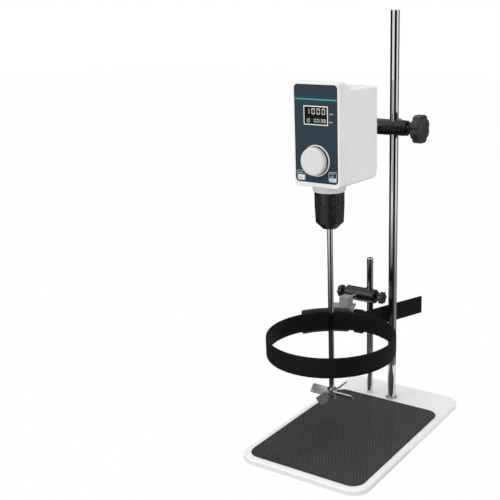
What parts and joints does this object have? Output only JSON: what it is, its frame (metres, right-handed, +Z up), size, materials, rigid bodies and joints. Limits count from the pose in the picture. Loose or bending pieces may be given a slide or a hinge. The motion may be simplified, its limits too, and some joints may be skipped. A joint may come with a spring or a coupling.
{
  "type": "overhead stirrer",
  "caption": "Digital overhead stirrer on a rod stand: motor head with display and knob, keyless chuck, stirring shaft with pitched-blade impeller, cross clamps and a vessel strap.",
  "frame": {"origin": "on the bench plane, under the middle of the base plate", "axes": "+Z up, +X to the right of the person who faces the display, +Y to the back, where the stand rod stands"},
  "size_m": [0.216, 0.3418, 0.605],
  "materials": {
    "white_paint": "white powder coat, fine satin",
    "black_rubber": "matt, finely ribbed",
    "polished_steel": "polished stainless steel",
    "plain_steel": "zinc plated steel",
    "white_plastic": "fine satin moulding",
    "black_plastic": "semi-matt glass filled nylon",
    "black_cast": "semi-matt black powder coat on a die casting",
    "slate_panel": "printed polycarbonate film",
    "dark_window": "clear hard-coated window over a dark display",
    "aluminium": "bent sheet, plain",
    "circuit": "solder resist",
    "brass": "turned",
    "grey_steel": "grey painted sheet",
    "black_strap": "woven nylon webbing"
  },
  "bodies": {
    "stand": {"base_plate": "white_paint", "base_feet": "black_rubber", "anti_slip_mat": "black_rubber", "stand_rod_lower": "polished_steel", "stand_rod_upper": "polished_steel", "rod_joint_stud": "plain_steel", "rod_foot_ring": "polished_steel", "stand_rod_bolt": "plain_steel", "clamp_post": "polished_steel", "clamp_post_bolt": "plain_steel"},
    "upper_clamp": {"upper_clamp_body": "black_cast", "upper_clamp_end_rings": "black_cast"},
    "rod_clamp_pad": {"rod_clamp_pad": "brass"},
    "rod_clamp_knob": {"rod_clamp_screw": "plain_steel", "rod_clamp_knob": "black_plastic"},
    "arm_clamp_pad": {"arm_clamp_pad": "brass"},
    "arm_clamp_knob": {"arm_clamp_screw": "plain_steel", "arm_clamp_knob": "black_plastic"},
    "head": {"housing_front_bezel": "white_plastic", "housing_cover": "white_plastic", "housing_base_tray": "white_plastic", "head_chassis": "aluminium", "tray_screws": "plain_steel", "power_inlet": "black_plastic", "control_panel": "slate_panel", "display_frame": "white_plastic", "display_window": "dark_window", "control_board": "circuit", "encoder_body": "aluminium", "knob_ring": "white_plastic", "motor_body": "plain_steel", "spindle_bearing": "polished_steel", "spindle_nose": "white_plastic", "support_arm": "polished_steel", "arm_flange": "aluminium", "arm_flange_screws": "plain_steel"},
    "encoder_plunger": {"encoder_plunger": "plain_steel"},
    "speed_knob": {"encoder_shaft": "plain_steel", "speed_knob": "white_plastic"},
    "spindle": {"motor_rotor": "plain_steel", "spindle": "polished_steel", "chuck_body": "plain_steel", "chuck_rear_ring": "black_plastic"},
    "chuck_sleeve": {"chuck_sleeve": "black_plastic", "chuck_nut_ring": "plain_steel"},
    "chuck_jaw_1": {"chuck_jaw_1": "plain_steel"},
    "chuck_jaw_2": {"chuck_jaw_2": "plain_steel"},
    "chuck_jaw_3": {"chuck_jaw_3": "plain_steel"},
    "stirrer": {"stirring_shaft": "polished_steel", "impeller": "polished_steel"},
    "lower_clamp": {"lower_clamp_body": "black_cast"},
    "post_clamp_pad": {"post_clamp_pad": "brass"},
    "post_clamp_screw": {"post_clamp_thumb_screw": "black_plastic"},
    "holder_clamp_pad": {"holder_clamp_pad": "brass"},
    "holder_clamp_screw": {"holder_clamp_thumb_screw": "black_plastic"},
    "vessel_holder": {"holder_arm": "polished_steel", "holder_bracket": "grey_steel", "vessel_jaw_plate": "black_plastic", "vessel_strap": "black_strap", "strap_buckle": "black_plastic"}
  },
  "joints": [
    {"name": "head_height", "type": "slide", "parent": "stand", "child": "upper_clamp", "axis": [0, 0, 1], "range_m": [-0.03, 0.14]},
    {"name": "arm_reach", "type": "slide", "parent": "upper_clamp", "child": "head", "axis": [0, -1, 0], "range_m": [-0.04, 0.045]},
    {"name": "rod_clamp_pad_slide", "type": "slide", "parent": "upper_clamp", "child": "rod_clamp_pad", "axis": [1, 0, 0], "range_m": [0, 0.00376]},
    {"name": "rod_clamp_knob_turn", "type": "hinge", "parent": "rod_clamp_pad", "child": "rod_clamp_knob", "pos_m": [0.0358, 0.11, 0.4405], "axis": [1, 0, 0], "range_deg": [0, 1080]},
    {"name": "arm_clamp_pad_slide", "type": "slide", "parent": "upper_clamp", "child": "arm_clamp_pad", "axis": [-1, 0, 0], "range_m": [0, 0.00376]},
    {"name": "arm_clamp_knob_turn", "type": "hinge", "parent": "arm_clamp_pad", "child": "arm_clamp_knob", "pos_m": [-0.0822, 0.11, 0.4405], "axis": [-1, 0, 0], "range_deg": [0, 1080]},
    {"name": "speed_knob_push", "type": "slide", "parent": "head", "child": "encoder_plunger", "axis": [0, 1, 0], "range_m": [0, 0.0008], "stiffness_N_per_m": 1500, "springref_m": -0.0006},
    {"name": "speed_knob_turn", "type": "hinge", "parent": "encoder_plunger", "child": "speed_knob", "pos_m": [-0.0232, -0.068, 0.4137], "axis": [0, 1, 0], "continuous": true},
    {"name": "spindle_spin", "type": "hinge", "parent": "head", "child": "spindle", "pos_m": [-0.0232, -0.031, 0.38], "axis": [0, 0, 1], "continuous": true},
    {"name": "chuck_sleeve_turn", "type": "hinge", "parent": "spindle", "child": "chuck_sleeve", "pos_m": [-0.0232, -0.031, 0.335], "axis": [0, 0, 1], "range_deg": [0, 540]},
    {"name": "chuck_jaw_1_slide", "type": "slide", "parent": "spindle", "child": "chuck_jaw_1", "axis": [0, 0.2419, 0.9703], "range_m": [0, 0.00601]},
    {"name": "chuck_jaw_2_slide", "type": "slide", "parent": "spindle", "child": "chuck_jaw_2", "axis": [-0.2095, -0.121, 0.9703], "range_m": [0, 0.00601]},
    {"name": "chuck_jaw_3_slide", "type": "slide", "parent": "spindle", "child": "chuck_jaw_3", "axis": [0.2095, -0.121, 0.9703], "range_m": [0, 0.00601]},
    {"name": "stirring_shaft_slide", "type": "slide", "parent": "spindle", "child": "stirrer", "axis": [0, 0, -1], "range_m": [0, 0.02]},
    {"name": "lower_clamp_height", "type": "slide", "parent": "stand", "child": "lower_clamp", "axis": [0, 0, 1], "range_m": [-0.04, 0.045]},
    {"name": "holder_reach", "type": "slide", "parent": "lower_clamp", "child": "vessel_holder", "axis": [0, -1, 0], "range_m": [-0.01, 0.012]},
    {"name": "post_clamp_pad_slide", "type": "slide", "parent": "lower_clamp", "child": "post_clamp_pad", "axis": [1, 0, 0], "range_m": [0, 0.00301]},
    {"name": "post_clamp_knob_turn", "type": "hinge", "parent": "post_clamp_pad", "child": "post_clamp_screw", "pos_m": [-0.02, 0.11, 0.175], "axis": [1, 0, 0], "range_deg": [0, 1080]},
    {"name": "holder_clamp_pad_slide", "type": "slide", "parent": "lower_clamp", "child": "holder_clamp_pad", "axis": [-1, 0, 0], "range_m": [0, 0.00301]},
    {"name": "holder_clamp_knob_turn", "type": "hinge", "parent": "holder_clamp_pad", "child": "holder_clamp_screw", "pos_m": [-0.091, 0.11, 0.175], "axis": [-1, 0, 0], "range_deg": [0, 1080]}
  ],
  "couplings": [
    {"joint": "rod_clamp_pad_slide", "follows": "rod_clamp_knob_turn", "m_per_rad": 0.00019894},
    {"joint": "arm_clamp_pad_slide", "follows": "arm_clamp_knob_turn", "m_per_rad": 0.00019894},
    {"joint": "post_clamp_pad_slide", "follows": "post_clamp_knob_turn", "m_per_rad": 0.00015915},
    {"joint": "holder_clamp_pad_slide", "follows": "holder_clamp_knob_turn", "m_per_rad": 0.00015915},
    {"joint": "chuck_jaw_1_slide", "follows": "chuck_sleeve_turn", "m_per_rad": 0.00063662},
    {"joint": "chuck_jaw_2_slide", "follows": "chuck_sleeve_turn", "m_per_rad": 0.00063662},
    {"joint": "chuck_jaw_3_slide", "follows": "chuck_sleeve_turn", "m_per_rad": 0.00063662}
  ]
}
